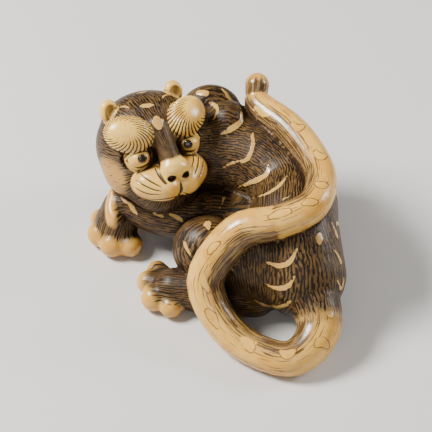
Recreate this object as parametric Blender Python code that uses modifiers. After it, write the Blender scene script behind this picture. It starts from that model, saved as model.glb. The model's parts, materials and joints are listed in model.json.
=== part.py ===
"""A netsuke of carved ivory: a tiger curled on its haunches, with dark plugs inlaid for pupils.

Z = 0 is the ground that it stands on. The head is at -X and looks towards -Y, the rump is at +X, and the
tail leaves the rump, runs along the ground in front, climbs over the knee and the thigh, turns back round
the hip and ends in a small knob behind the shoulder. "Near" is the -Y side and "far" the +Y side.
"""

import math

import bmesh
import bpy
from mathutils import Matrix, Vector

# Driving sizes, in metres
LENGTH = 0.0432  # front bend of the tail to the far shoulder
PUPIL_DIAMETER = 0.0012
PUPIL_LENGTH = 0.0016
PUPIL_PROUD = 0.0001  # how far a plug's domed end stands out of the eyeball
PUPIL_DOME = 0.0002  # height of that dome
INLAY_CLEARANCE = 0.0001  # between a plug and its pocket, at the side and at the bottom

# The figure's own proportions, as shares of its length
SHARE = LENGTH / 48.0

# Stations along a rounded limb: x, y, z and radius, in shares
TORSO = [
    (13.6, -4.5, 8.0, 7.0),
    (12.2, 1.5, 12.0, 7.3),
    (12.2, 10.5, 12.6, 6.8),
    (7.0, 16.5, 13.4, 7.4),
    (-1.0, 18.5, 13.4, 7.2),
    (-7.0, 17.0, 14.5, 6.6),
]
TAIL = [
    (14.5, -6.0, 8.5, 4.5),
    (16.0, -13.4, 4.8, 3.5),
    (11.1, -17.7, 2.6, 2.85),
    (2.5, -13.3, 3.2, 2.75),
    (-2.0, -7.0, 9.0, 3.0),
    (3.0, -3.5, 16.5, 2.95),
    (9.4, -3.1, 18.6, 2.75),
    (15.0, -1.0, 20.4, 2.6),
    (16.3, 6.0, 20.7, 2.5),
    (12.4, 14.7, 21.2, 2.6),
    (7.1, 20.6, 21.6, 2.3),
    (6.3, 22.4, 22.2, 1.8),
    (6.4, 23.7, 23.6, 2.0),
]
NEAR_FORELEG = [
    (0.0, 9.0, 8.0, 4.6),
    (-8.7, 10.3, 7.3, 3.9),
    (-14.9, 12.2, 7.6, 3.2),
    (-16.6, 11.6, 4.4, 3.6),
]
NEAR_HIND_FOOT = [(6.0, -4.5, 3.2, 3.5), (0.0, -4.0, 3.2, 3.6), (-7.0, -2.6, 3.0, 3.3)]
FAR_FORELEG = [(-2.0, 22.0, 12.0, 4.4), (-5.0, 21.5, 6.0, 3.6), (-10.0, 20.0, 3.0, 3.2)]
FAR_HIND_FOOT = [(13.0, 14.5, 3.3, 3.6), (8.0, 19.0, 3.0, 3.2), (2.5, 21.0, 3.0, 3.2)]
WRIST_FUR = [(-17.2, 12.9, 9.6, 0.8), (-17.4, 10.6, 8.4, 1.1), (-16.8, 9.1, 7.2, 1.6)]
LIMBS = [TORSO, TAIL, NEAR_FORELEG, NEAR_HIND_FOOT, FAR_FORELEG, FAR_HIND_FOOT, WRIST_FUR]

# Rounded masses of the body: centre and radii, in shares
MASSES = {
    "near thigh": ((8.5, -1.5, 7.8), (10.5, 6.6, 8.6)),
    "near knee": ((-1.8, 1.4, 8.0), (5.6, 5.2, 5.6)),
    "far thigh": ((11.5, 11.5, 7.0), (6.5, 7.5, 6.7)),
    "near shoulder": ((1.7, 19.5, 16.6), (4.4, 4.4, 6.2)),
    "far shoulder": ((-1.2, 24.0, 17.0), (5.2, 3.6, 5.6)),
    "withers": ((5.5, 20.0, 15.5), (6.0, 5.0, 5.0)),
    "belly": ((5.0, 10.0, 6.5), (10.0, 9.0, 5.9)),
    "chest": ((-4.0, 17.0, 8.0), (7.0, 5.5, 7.0)),
    "neck": ((-6.0, 19.5, 17.0), (5.6, 5.0, 5.4)),
}

# Toes: the tip's centre and radius, in shares
TOES = {
    "near fore": [
        (-19.5, 13.6, 2.6, 1.8), (-19.4, 10.6, 2.2, 2.3),
        (-17.4, 8.4, 2.1, 2.3), (-14.6, 8.2, 2.1, 2.1),
    ],
    "near hind": [
        (-9.9, 1.6, 2.6, 1.7), (-11.2, -0.6, 2.2, 2.0),
        (-10.3, -4.0, 2.1, 2.2), (-7.6, -5.6, 1.9, 1.9),
    ],
    "far fore": [
        (-10.4, 22.4, 2.0, 2.0), (-12.2, 21.0, 2.0, 2.1),
        (-12.4, 19.0, 2.0, 2.1), (-10.8, 17.6, 2.0, 1.9),
    ],
    "far hind": [
        (2.4, 23.2, 2.0, 1.9), (0.4, 22.4, 2.0, 2.1),
        (-0.2, 20.4, 2.0, 2.1), (0.8, 18.6, 2.0, 1.9),
    ],
}
# Where the toes of a paw would meet; a knuckle lies part of the way there from each tip
PAW_MIDDLES = {
    "near fore": (-16.4, 11.6, 3.8),
    "near hind": (-6.6, -2.4, 3.8),
    "far fore": (-9.6, 20.2, 3.4),
    "far hind": (3.0, 21.0, 3.4),
}
KNUCKLE_SHARE = 0.5
KNUCKLE_SIZE = 0.85  # a knuckle's radius, as a share of its tip's

# The head has its own frame: X to the side, Y up and Z forward, out of the face
HEAD_CENTRE = (-11.0, 15.0, 17.5)
HEAD_FORWARD = (0.43, -0.80, 0.41)
HEAD_TOP = (-0.153, 0.387, 0.909)
SKULL_FORMS = {
    "skull": ((0.0, 0.8, -0.8), (8.6, 8.1, 8.0)),
    "crown": ((0.0, 5.6, -0.8), (6.6, 3.5, 5.6)),
    "cheeks": ((0.0, -2.8, 0.4), (8.4, 5.3, 7.0)),
    "throat": ((0.5, -5.6, 2.4), (6.0, 4.6, 4.6)),
}
EYE_SOCKET = ((4.1, 1.2, 7.4), (3.1, 2.0, 2.6))
MUZZLE_FORMS = {
    "nose": ((0.1, -1.1, 8.9), (2.5, 1.9, 1.8)),
    "chin": ((0.0, -6.0, 5.1), (2.8, 1.4, 2.6)),
}
PAIRED_FORMS = {
    "ear": ((5.8, 8.0, -0.6), (1.6, 2.0, 1.2)),
    "whisker pad": ((3.0, -3.2, 6.3), (3.5, 2.8, 3.0)),
    "upper lip": ((1.5, -4.0, 8.6), (1.9, 1.8, 2.0)),
}
NOSE_BRIDGE = [(0.0, 5.2, 4.4, 1.9), (0.0, 1.8, 6.9, 1.7), (0.0, -0.8, 8.6, 1.9)]
EYEBALL_CENTRE = (4.4, 1.2, 5.5)
EYEBALL_RADII = (1.9, 1.55, 1.9)
GAZE = (-0.2, 0.18, 1.0)  # inward from each eye, before both are turned the same way
GAZE_TURN = -0.2
NOSTRIL = ((1.2, -2.1, 10.1), (0.6, 0.45, 0.7))
EAR_HOLLOW = ((5.8, 8.2, 0.6), (0.9, 1.2, 0.8))
MOUTH = [
    (-3.8, -5.6, 6.6, 0.3),
    (-1.8, -5.8, 7.6, 0.4),
    (0.0, -5.4, 8.2, 0.4),
    (1.8, -5.8, 7.6, 0.4),
    (3.8, -5.6, 6.6, 0.3),
]

# The raised tufts over the eyes, cut all round with curved flutes
TUFT_CENTRE = (5.2, 5.2, 4.6)
TUFT_RADII = (4.0, 3.0, 2.2)
TUFT_OUTWARD = (0.28, 0.40, 0.87)
TUFT_TILT = math.radians(20)  # the outer end stands higher than the inner end
FLUTES = 22
FLUTE_RADIUS = 0.24
FLUTE_INNER_ANGLE = math.radians(40)
FLUTE_OUTER_ANGLE = math.radians(86)
FLUTE_TWIST = math.radians(30)
FLUTE_STEPS = 2
FLUTE_POINT = 0.4  # a flute's radius at its inner end, as a share of its full radius

# Fineness of the clay and of the faceted result
BODY_VOXEL = 0.42 * SHARE
HEAD_VOXEL = 0.26 * SHARE
BODY_SMOOTHING_PASSES = 5
HEAD_SMOOTHING_PASSES = 2
BODY_TRIANGLES = 4150
HEAD_TRIANGLES = 1950
STATION_STEPS = 5
BALL_SEGMENTS = 32
BALL_RINGS = 20
SMALL_SEGMENTS = 12
SMALL_RINGS = 8
PLUG_SIDES = 16

IVORY_COLOUR = (0.72, 0.56, 0.33, 1.0)
HORN_COLOUR = (0.012, 0.008, 0.006, 1.0)


def clear_scene():
    for item in list(bpy.data.objects):
        bpy.data.objects.remove(item, do_unlink=True)


def new_collection(name):
    collection = bpy.data.collections.new(name)
    bpy.context.scene.collection.children.link(collection)
    return collection


def new_material(name, colour, roughness):
    material = bpy.data.materials.new(name)
    material.use_nodes = True
    shader = material.node_tree.nodes["Principled BSDF"]
    shader.inputs["Base Color"].default_value = colour
    shader.inputs["Roughness"].default_value = roughness
    shader.inputs["Metallic"].default_value = 0.0
    return material


def new_object(name, mesh, collection):
    item = bpy.data.objects.new(name, mesh)
    collection.objects.link(item)
    return item


def evaluated_mesh(item):
    """The object's mesh with its modifiers applied."""
    graph = bpy.context.evaluated_depsgraph_get()
    return bpy.data.meshes.new_from_object(item.evaluated_get(graph))


def head_frame():
    """Turns the head's side, up and forward into world directions, and puts its centre in place."""
    forward = Vector(HEAD_FORWARD).normalized()
    side = Vector(HEAD_TOP).cross(forward).normalized()
    up = forward.cross(side)
    turn = Matrix((side, up, forward)).transposed().to_4x4()
    return Matrix.Translation(Vector(HEAD_CENTRE) * SHARE) @ turn


def facing_frame(centre, outward, tilt=0.0):
    """A frame at a centre, in shares, whose Z points outward and whose X is level before the tilt."""
    z = Vector(outward).normalized()
    x = Vector((0.0, 1.0, 0.0)).cross(z).normalized()
    turn = Matrix((x, z.cross(x), z)).transposed().to_4x4()
    return Matrix.Translation(Vector(centre) * SHARE) @ turn @ Matrix.Rotation(tilt, 4, "Z")


def on_side(point, side):
    """A point of the head's right half, put on the side with this sign."""
    return (point[0] * side, *point[1:])


def smooth_stations(stations):
    """More stations on a smooth curve through the given ones."""
    rows = [Vector(row) for row in stations]
    ends = [2 * rows[0] - rows[1], *rows, 2 * rows[-1] - rows[-2]]
    found = []
    for before, start, end, after in zip(ends, ends[1:], ends[2:], ends[3:]):
        for step in range(STATION_STEPS):
            t = step / STATION_STEPS
            found.append(
                0.5 * (2 * start + (end - before) * t
                       + (2 * before - 5 * start + 4 * end - after) * t * t
                       + (3 * start - before - 3 * end + after) * t ** 3)
            )
    return [*found, rows[-1]]


def unit_ball(segments, rings):
    """A ball of radius 1, made once for each fineness and then copied."""
    name = f"ball {segments} by {rings}"
    if name not in bpy.data.meshes:
        ball = bmesh.new()
        bmesh.ops.create_uvsphere(ball, u_segments=segments, v_segments=rings, radius=1.0)
        ball.to_mesh(bpy.data.meshes.new(name))
        ball.free()
    return bpy.data.meshes[name]


def add_ball(clay, centre, radii, frame, segments=BALL_SEGMENTS, rings=BALL_RINGS):
    """A ball stretched to these radii, in shares, at a centre in the frame."""
    size = Matrix.Diagonal((*(Vector(radii) * SHARE), 1.0))
    ball = unit_ball(segments, rings).copy()
    ball.transform(frame @ Matrix.Translation(Vector(centre) * SHARE) @ size)
    clay.from_mesh(ball)
    bpy.data.meshes.remove(ball)


def add_tube(clay, stations, frame, bevel_resolution):
    """A tube along the stations, in shares, with its own radius at each."""
    curve = bpy.data.curves.new("sweep", "CURVE")
    curve.dimensions = "3D"
    curve.bevel_depth = SHARE
    curve.bevel_resolution = bevel_resolution
    curve.use_fill_caps = True
    spline = curve.splines.new("POLY")
    spline.points.add(len(stations) - 1)
    for point, station in zip(spline.points, stations):
        point.co = (*(frame @ (Vector(station[:3]) * SHARE)), 1.0)
        point.radius = station[3]
    guide = new_object("sweep", curve, bpy.context.scene.collection)
    mesh = evaluated_mesh(guide)
    bpy.data.objects.remove(guide, do_unlink=True)
    bpy.data.curves.remove(curve)
    tube = bmesh.new()
    tube.from_mesh(mesh)
    bmesh.ops.remove_doubles(tube, verts=tube.verts, dist=1e-7)
    bmesh.ops.recalc_face_normals(tube, faces=tube.faces)
    tube.to_mesh(mesh)
    tube.free()
    clay.from_mesh(mesh)
    bpy.data.meshes.remove(mesh)


def add_limb(clay, stations, frame):
    """A tube through the smoothed stations, with a round end at each."""
    path = smooth_stations(stations)
    add_tube(clay, path, frame, bevel_resolution=6)
    for x, y, z, radius in (path[0], path[-1]):
        add_ball(clay, (x, y, z), (radius, radius, radius), frame)


def toe_stations(tip, paw_middle):
    knuckle = Vector(tip[:3]).lerp(Vector(paw_middle), KNUCKLE_SHARE)
    return [(*knuckle, tip[3] * KNUCKLE_SIZE), tip]


def clay_mesh(name, clay):
    mesh = bpy.data.meshes.new(name)
    clay.to_mesh(mesh)
    clay.free()
    return mesh


def worked(name, mesh, voxel, smoothing, triangles, collection):
    """The overlapping forms made one skin, its creases softened, and cut down to a number of triangles."""
    item = new_object(name, mesh, collection)
    remesh = item.modifiers.new("one skin", "REMESH")
    remesh.mode = "VOXEL"
    remesh.voxel_size = voxel
    soften = item.modifiers.new("soften", "SMOOTH")
    soften.factor = 0.5
    soften.iterations = smoothing
    item.data = evaluated_mesh(item)
    item.modifiers.clear()
    facets = item.modifiers.new("facets", "DECIMATE")
    facets.ratio = triangles / (2 * len(item.data.polygons))
    result = evaluated_mesh(item)
    result.name = name
    bpy.data.objects.remove(item, do_unlink=True)
    return result


def body_mesh(collection):
    clay = bmesh.new()
    still = Matrix.Identity(4)
    for stations in LIMBS:
        add_limb(clay, stations, still)
    for centre, radii in MASSES.values():
        add_ball(clay, centre, radii, still)
    for paw, tips in TOES.items():
        for tip in tips:
            add_limb(clay, toe_stations(tip, PAW_MIDDLES[paw]), still)
    mesh = clay_mesh("body", clay)
    return worked("body", mesh, BODY_VOXEL, BODY_SMOOTHING_PASSES, BODY_TRIANGLES, collection)


def skull_mesh(collection):
    """The head's round block with the two eye sockets cut in it."""
    clay = bmesh.new()
    frame = head_frame()
    for centre, radii in SKULL_FORMS.values():
        add_ball(clay, centre, radii, frame)
    block = new_object("skull", clay_mesh("skull", clay), collection)
    remesh = block.modifiers.new("one skin", "REMESH")
    remesh.mode = "VOXEL"
    remesh.voxel_size = HEAD_VOXEL
    sockets = bmesh.new()
    for side in (-1, 1):
        add_ball(sockets, on_side(EYE_SOCKET[0], side), EYE_SOCKET[1], frame)
    cutter = new_object("sockets", clay_mesh("sockets", sockets), collection)
    cut(block, cutter, "eye sockets")
    mesh = evaluated_mesh(block)
    for item in (block, cutter):
        bpy.data.objects.remove(item, do_unlink=True)
    return mesh


def head_mesh(collection):
    clay = bmesh.new()
    clay.from_mesh(skull_mesh(collection))
    frame = head_frame()
    for centre, radii in MUZZLE_FORMS.values():
        add_ball(clay, centre, radii, frame)
    for side in (-1, 1):
        for centre, radii in PAIRED_FORMS.values():
            add_ball(clay, on_side(centre, side), radii, frame)
        add_ball(clay, on_side(EYEBALL_CENTRE, side), EYEBALL_RADII, frame)
        add_ball(clay, (0.0, 0.0, 0.0), TUFT_RADII, tuft_frame(side))
    add_limb(clay, NOSE_BRIDGE, frame)
    mesh = clay_mesh("head", clay)
    return worked("head", mesh, HEAD_VOXEL, HEAD_SMOOTHING_PASSES, HEAD_TRIANGLES, collection)


def tuft_frame(side):
    place = facing_frame(on_side(TUFT_CENTRE, side), on_side(TUFT_OUTWARD, side), side * TUFT_TILT)
    return head_frame() @ place


def cut(target, cutter, name):
    """Takes the cutter's shape out of the target and leaves the cutter out of the render."""
    cutter.hide_render = True
    cutter.display_type = "WIRE"
    modifier = target.modifiers.new(name, "BOOLEAN")
    modifier.operation = "DIFFERENCE"
    modifier.solver = "EXACT"
    modifier.object = cutter


def join(target, other, name):
    other.hide_render = True
    other.display_type = "WIRE"
    modifier = target.modifiers.new(name, "BOOLEAN")
    modifier.operation = "UNION"
    modifier.solver = "EXACT"
    modifier.object = other


def ground_cutter(cutters):
    """A block below the ground, wider than the figure, which leaves flats under the paws and the tail."""
    clay = bmesh.new()
    size = Matrix.Diagonal((3 * LENGTH, 3 * LENGTH, LENGTH, 1.0))
    block = Matrix.Translation((0.0, 0.0, -0.5 * LENGTH)) @ size
    bmesh.ops.create_cube(clay, size=1.0, matrix=block)
    return new_object("ground", clay_mesh("ground", clay), cutters)


def flute_stations(angle, side):
    """One curved flute from near the crown of a tuft down to its edge, widening as it goes."""
    stations = []
    for step in range(FLUTE_STEPS + 1):
        t = step / FLUTE_STEPS
        fall = FLUTE_INNER_ANGLE + (FLUTE_OUTER_ANGLE - FLUTE_INNER_ANGLE) * t
        turn = angle + side * FLUTE_TWIST * t
        stations.append((
            TUFT_RADII[0] * math.sin(fall) * math.cos(turn),
            TUFT_RADII[1] * math.sin(fall) * math.sin(turn),
            TUFT_RADII[2] * math.cos(fall),
            FLUTE_RADIUS * (FLUTE_POINT + (1.0 - FLUTE_POINT) * t),
        ))
    return stations


def flutes_cutter(cutters):
    clay = bmesh.new()
    for side in (-1, 1):
        for index in range(FLUTES):
            stations = flute_stations(math.tau * index / FLUTES, side)
            add_tube(clay, stations, tuft_frame(side), bevel_resolution=0)
    return new_object("flutes", clay_mesh("flutes", clay), cutters)


def features_cutter(cutters):
    """The nostrils, the hollows of the ears and the line of the mouth."""
    clay = bmesh.new()
    frame = head_frame()
    for side in (-1, 1):
        for centre, radii in (NOSTRIL, EAR_HOLLOW):
            add_ball(clay, on_side(centre, side), radii, frame, SMALL_SEGMENTS, SMALL_RINGS)
    add_tube(clay, smooth_stations(MOUTH), frame, bevel_resolution=0)
    return new_object("features", clay_mesh("features", clay), cutters)


def plug_frame(side):
    """At the front of an eyeball, with Z along the gaze."""
    gaze = (Vector(on_side(GAZE, side)) + Vector((GAZE_TURN, 0.0, 0.0))).normalized()
    front = Vector(on_side(EYEBALL_CENTRE, side)) + gaze * EYEBALL_RADII[2]
    return head_frame() @ facing_frame(front, gaze)


def pocket_cutter(side, cutters):
    """A round pocket for a plug, from its bottom to well outside the eyeball."""
    bottom = PUPIL_PROUD - PUPIL_LENGTH - INLAY_CLEARANCE
    top = PUPIL_DIAMETER
    place = plug_frame(side) @ Matrix.Translation((0.0, 0.0, 0.5 * (top + bottom)))
    radius = 0.5 * PUPIL_DIAMETER + INLAY_CLEARANCE
    clay = bmesh.new()
    bmesh.ops.create_cone(
        clay,
        cap_ends=True,
        segments=PLUG_SIDES,
        radius1=radius,
        radius2=radius,
        depth=top - bottom,
        matrix=place,
    )
    return new_object("pocket", clay_mesh("pocket", clay), cutters)


def pupil(name, side, collection):
    """A round plug with a domed outer end: a profile turned about the gaze."""
    radius = 0.5 * PUPIL_DIAMETER
    profile = bmesh.new()
    outline = [(0.0, PUPIL_PROUD)]
    outline += [
        (radius * math.sin(angle), PUPIL_PROUD - PUPIL_DOME * (1.0 - math.cos(angle)))
        for angle in (math.radians(30), math.radians(60), math.radians(90))
    ]
    outline += [(radius, PUPIL_PROUD - PUPIL_LENGTH), (0.0, PUPIL_PROUD - PUPIL_LENGTH)]
    points = [profile.verts.new((x, 0.0, z)) for x, z in outline]
    for start, end in zip(points, points[1:]):
        profile.edges.new((start, end))
    item = new_object(name, clay_mesh(name, profile), collection)
    item.matrix_world = plug_frame(side)
    turned = item.modifiers.new("turned", "SCREW")
    turned.axis = "Z"
    turned.steps = PLUG_SIDES
    turned.render_steps = PLUG_SIDES
    turned.use_merge_vertices = True
    turned.merge_threshold = 1e-6
    turned.use_smooth_shade = True
    return item


def tiger(collection, cutters):
    item = new_object("tiger", body_mesh(cutters), collection)
    join(item, new_object("head", head_mesh(cutters), cutters), "head on the shoulders")
    cut(item, ground_cutter(cutters), "flats underneath")
    cut(item, flutes_cutter(cutters), "flutes of the tufts")
    cut(item, features_cutter(cutters), "nostrils, ears and mouth")
    for side in (-1, 1):
        cut(item, pocket_cutter(side, cutters), "pocket for a pupil")
    item.data.shade_smooth()
    item.data.set_sharp_from_angle(angle=math.radians(50))
    return item


def centred_base(item, collection):
    """An empty that carries everything, moved so that the figure's box stands over the origin."""
    mesh = evaluated_mesh(item)
    xs = [vertex.co.x for vertex in mesh.vertices]
    ys = [vertex.co.y for vertex in mesh.vertices]
    bpy.data.meshes.remove(mesh)
    base = new_object("base", None, collection)
    base.location = (-0.5 * (min(xs) + max(xs)), -0.5 * (min(ys) + max(ys)), 0.0)
    return base


def main():
    clear_scene()
    collection = new_collection("netsuke")
    cutters = new_collection("cutters")
    ivory = new_material("ivory", IVORY_COLOUR, 0.35)
    horn = new_material("dark horn", HORN_COLOUR, 0.12)
    figure = tiger(collection, cutters)
    figure.data.materials.append(ivory)
    plugs = [pupil("left_pupil", 1, collection), pupil("right_pupil", -1, collection)]
    for plug in plugs:
        plug.data.materials.append(horn)
    base = centred_base(figure, collection)
    for item in [figure, *plugs, *cutters.objects]:
        item.parent = base


main()
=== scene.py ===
"""The looks of a netsuke carved in ivory: a tiger curled on its haunches, with dark inlaid pupils.

The carving is a sum of rounded forms, the same as in its solid. They are blended as distances, skinned with a
fine mesh and cut with flutes, whisker lines and creases. The mesh then carries what its material reads: where
the fur is stained, how the hair runs, where the pale marks are and how deep the hollows lie.
Lengths are in shares of the figure's length until the mesh is made.
"Near" is the -Y side and "far" the +Y side.
"""

import json
import math
from concurrent.futures import ThreadPoolExecutor

import bpy
import numpy as np
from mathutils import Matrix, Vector

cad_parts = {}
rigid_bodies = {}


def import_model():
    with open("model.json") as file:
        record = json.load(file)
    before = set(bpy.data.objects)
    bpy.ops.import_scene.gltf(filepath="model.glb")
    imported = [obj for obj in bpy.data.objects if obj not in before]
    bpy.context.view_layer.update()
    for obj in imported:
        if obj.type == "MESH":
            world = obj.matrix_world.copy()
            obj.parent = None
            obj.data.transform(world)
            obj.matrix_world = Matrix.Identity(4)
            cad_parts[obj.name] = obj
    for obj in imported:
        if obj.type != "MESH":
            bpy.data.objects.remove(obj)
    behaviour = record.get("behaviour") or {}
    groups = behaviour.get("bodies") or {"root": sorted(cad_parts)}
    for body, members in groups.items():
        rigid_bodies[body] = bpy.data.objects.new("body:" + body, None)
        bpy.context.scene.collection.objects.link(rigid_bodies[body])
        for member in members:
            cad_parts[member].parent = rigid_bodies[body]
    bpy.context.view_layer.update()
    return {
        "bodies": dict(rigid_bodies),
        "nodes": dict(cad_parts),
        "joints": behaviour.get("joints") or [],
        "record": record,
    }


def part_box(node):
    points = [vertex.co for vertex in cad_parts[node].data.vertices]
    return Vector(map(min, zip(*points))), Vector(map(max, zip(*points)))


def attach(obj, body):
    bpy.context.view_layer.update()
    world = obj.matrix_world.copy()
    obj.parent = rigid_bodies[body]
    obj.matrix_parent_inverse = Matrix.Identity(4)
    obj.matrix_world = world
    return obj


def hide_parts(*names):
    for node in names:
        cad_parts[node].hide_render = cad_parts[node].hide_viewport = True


LENGTH = 0.0432
SHARE = LENGTH / 48.0

# The inlaid pupils, in metres
PUPIL_DIAMETER = 0.0012
PUPIL_LENGTH = 0.0016
PUPIL_PROUD = 0.0001
PUPIL_DOME = 0.0002
INLAY_CLEARANCE = 0.0001
PLUG_SIDES = 16  # of the solid
INLAY_SIDES = 48

# Stations along a rounded limb: x, y, z and radius, in shares
TORSO = [
    (13.6, -4.5, 8.0, 7.0),
    (12.2, 1.5, 12.0, 7.3),
    (12.2, 10.5, 12.6, 6.8),
    (7.0, 16.5, 13.4, 7.4),
    (-1.0, 18.5, 13.4, 7.2),
    (-7.0, 17.0, 14.5, 6.6),
]
TAIL = [
    (14.5, -6.0, 8.5, 4.5),
    (16.0, -13.4, 4.8, 3.5),
    (11.1, -17.7, 2.6, 2.85),
    (2.5, -13.3, 3.2, 2.75),
    (-2.0, -7.0, 9.0, 3.0),
    (3.0, -3.5, 16.5, 2.95),
    (9.4, -3.1, 18.6, 2.75),
    (15.0, -1.0, 20.4, 2.6),
    (16.3, 6.0, 20.7, 2.5),
    (12.4, 14.7, 21.2, 2.6),
    (7.1, 20.6, 21.6, 2.3),
    (6.3, 22.4, 22.2, 1.8),
    (6.4, 23.7, 23.6, 2.0),
]
LEGS = {
    "near fore": [
        (0.0, 9.0, 8.0, 4.6), (-8.7, 10.3, 7.3, 3.9),
        (-14.9, 12.2, 7.6, 3.2), (-16.6, 11.6, 4.4, 3.6),
    ],
    "near hind": [(6.0, -4.5, 3.2, 3.5), (0.0, -4.0, 3.2, 3.6), (-7.0, -2.6, 3.0, 3.3)],
    "far fore": [(-2.0, 22.0, 12.0, 4.4), (-5.0, 21.5, 6.0, 3.6), (-10.0, 20.0, 3.0, 3.2)],
    "far hind": [(13.0, 14.5, 3.3, 3.6), (8.0, 19.0, 3.0, 3.2), (2.5, 21.0, 3.0, 3.2)],
}
WRIST_FUR = [(-17.2, 12.9, 9.6, 0.8), (-17.4, 10.6, 8.4, 1.1), (-16.8, 9.1, 7.2, 1.6)]
TOES = {
    "near fore": [
        (-19.5, 13.6, 2.6, 1.8), (-19.4, 10.6, 2.2, 2.3),
        (-17.4, 8.4, 2.1, 2.3), (-14.6, 8.2, 2.1, 2.1),
    ],
    "near hind": [
        (-9.9, 1.6, 2.6, 1.7), (-11.2, -0.6, 2.2, 2.0),
        (-10.3, -4.0, 2.1, 2.2), (-7.6, -5.6, 1.9, 1.9),
    ],
    "far fore": [
        (-10.4, 22.4, 2.0, 2.0), (-12.2, 21.0, 2.0, 2.1),
        (-12.4, 19.0, 2.0, 2.1), (-10.8, 17.6, 2.0, 1.9),
    ],
    "far hind": [
        (2.4, 23.2, 2.0, 1.9), (0.4, 22.4, 2.0, 2.1),
        (-0.2, 20.4, 2.0, 2.1), (0.8, 18.6, 2.0, 1.9),
    ],
}
# Where the toes of a paw would meet; a knuckle lies part of the way there from each tip
PAW_MIDDLES = {
    "near fore": (-16.4, 11.6, 3.8),
    "near hind": (-6.6, -2.4, 3.8),
    "far fore": (-9.6, 20.2, 3.4),
    "far hind": (3.0, 21.0, 3.4),
}
KNUCKLE_SHARE = 0.5
KNUCKLE_SIZE = 0.85  # a knuckle's radius, as a share of its tip's

# Spheres that hold a whole part
LEG_REACH, WRIST_REACH, HEAD_REACH = 14.0, 5.0, 14.0

# Rounded masses of the body: centre and radii
MASSES = {
    "near thigh": ((8.5, -1.5, 7.8), (10.5, 6.6, 8.6)),
    "near knee": ((-1.8, 1.4, 8.0), (5.6, 5.2, 5.6)),
    "far thigh": ((11.5, 11.5, 7.0), (6.5, 7.5, 6.7)),
    "near shoulder": ((1.7, 19.5, 16.6), (4.4, 4.4, 6.2)),
    "far shoulder": ((-1.2, 24.0, 17.0), (5.2, 3.6, 5.6)),
    "withers": ((5.5, 20.0, 15.5), (6.0, 5.0, 5.0)),
    "belly": ((5.0, 10.0, 6.5), (10.0, 9.0, 5.9)),
    "chest": ((-4.0, 17.0, 8.0), (7.0, 5.5, 7.0)),
    "neck": ((-6.0, 19.5, 17.0), (5.6, 5.0, 5.4)),
}

# The head has its own frame: X to the side, Y up and Z forward, out of the face
HEAD_CENTRE = (-11.0, 15.0, 17.5)
HEAD_FORWARD = (0.43, -0.80, 0.41)
HEAD_TOP = (-0.153, 0.387, 0.909)
SKULL_FORMS = {
    "skull": ((0.0, 0.8, -0.8), (8.6, 8.1, 8.0)),
    "crown": ((0.0, 5.6, -0.8), (6.6, 3.5, 5.6)),
    "cheeks": ((0.0, -2.8, 0.4), (8.4, 5.3, 7.0)),
    "throat": ((0.5, -5.6, 2.4), (6.0, 4.6, 4.6)),
}
EYE_SOCKET = ((4.1, 1.2, 7.4), (3.1, 2.0, 2.6))
MUZZLE_FORMS = {
    "nose": ((0.1, -1.1, 8.9), (2.5, 1.9, 1.8)),
    "chin": ((0.0, -6.0, 5.1), (2.8, 1.4, 2.6)),
}
EAR = ((5.8, 8.0, -0.6), (1.6, 2.0, 1.2))
EAR_HOLLOW = ((5.8, 8.2, 0.6), (0.9, 1.2, 0.8))
WHISKER_PAD = ((3.0, -3.2, 6.3), (3.5, 2.8, 3.0))
UPPER_LIP = ((1.5, -4.0, 8.6), (1.9, 1.8, 2.0))
NOSE_WING = ((1.25, -1.9, 9.2), 1.0)
NOSE_BRIDGE = [(0.0, 5.2, 4.4, 1.9), (0.0, 1.8, 6.9, 1.7), (0.0, -0.8, 8.6, 1.9)]
EYEBALL_CENTRE = (4.4, 1.2, 5.5)
EYEBALL_RADII = (1.9, 1.55, 1.9)
GAZE = (-0.2, 0.18, 1.0)  # inward from each eye, before both are turned the same way
GAZE_TURN = -0.2
EYE_REACH = 2.7  # how far round an eyeball the carving is fine
BARE_EYE_REACH = 2.2  # and the ivory is bare
# Rims of the lids of one eye, and the fold outside it: x, y, z and radius
LIDS = [
    [
        (2.1, 1.0, 5.0, 0.2), (3.2, 2.4, 6.0, 0.3), (4.6, 2.8, 6.4, 0.35),
        (5.8, 2.3, 5.9, 0.3), (6.6, 1.2, 4.9, 0.2),
    ],
    [
        (2.1, 1.0, 5.0, 0.2), (3.3, 0.0, 6.0, 0.28), (4.7, -0.4, 6.2, 0.28),
        (5.9, 0.1, 5.6, 0.26), (6.6, 1.2, 4.9, 0.2),
    ],
    [(6.3, 2.7, 4.6, 0.12), (7.2, 1.4, 4.1, 0.28), (6.6, -0.1, 4.5, 0.15)],
]
NOSTRIL = ((1.2, -2.1, 10.1), (0.6, 0.45, 0.7))

# How far the fillets reach where forms meet
FILLETS = {
    "masses": 0.8, "toes": 0.7, "paw": 0.6, "leg": 0.5, "wrist": 0.3, "head": 0.3, "tail": 0.35,
    "skull": 1.2, "socket": 0.5, "ear": 0.4, "ear hollow": 0.3, "lip": 2.6, "muzzle": 0.3, "lid": 0.35,
    "eyeball": 0.08, "tuft": 0.25, "bridge": 0.6, "nose": 0.4, "nose wing": 0.3, "nostril": 0.2,
}

# The raised tufts over the eyes, cut all round with curved flutes
TUFT_CENTRE = (5.2, 5.2, 4.6)
TUFT_RADII = (4.0, 3.0, 2.2)
TUFT_OUTWARD = (0.28, 0.40, 0.87)
TUFT_TILT = math.radians(20)
FLUTES = 34
# Where a flute begins, as a share of the way from the smooth crown to the rim
FLUTE_INNER_START = 0.36
FLUTE_OUTER_START = 0.62
FLUTE_CROWN = 0.28  # how far outward the smooth crown sits, as a share of the tuft's half width
FLUTE_UNEVEN = 0.05
FLUTE_TWIST = math.radians(46)
FLUTE_DEPTH = 0.17

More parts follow.
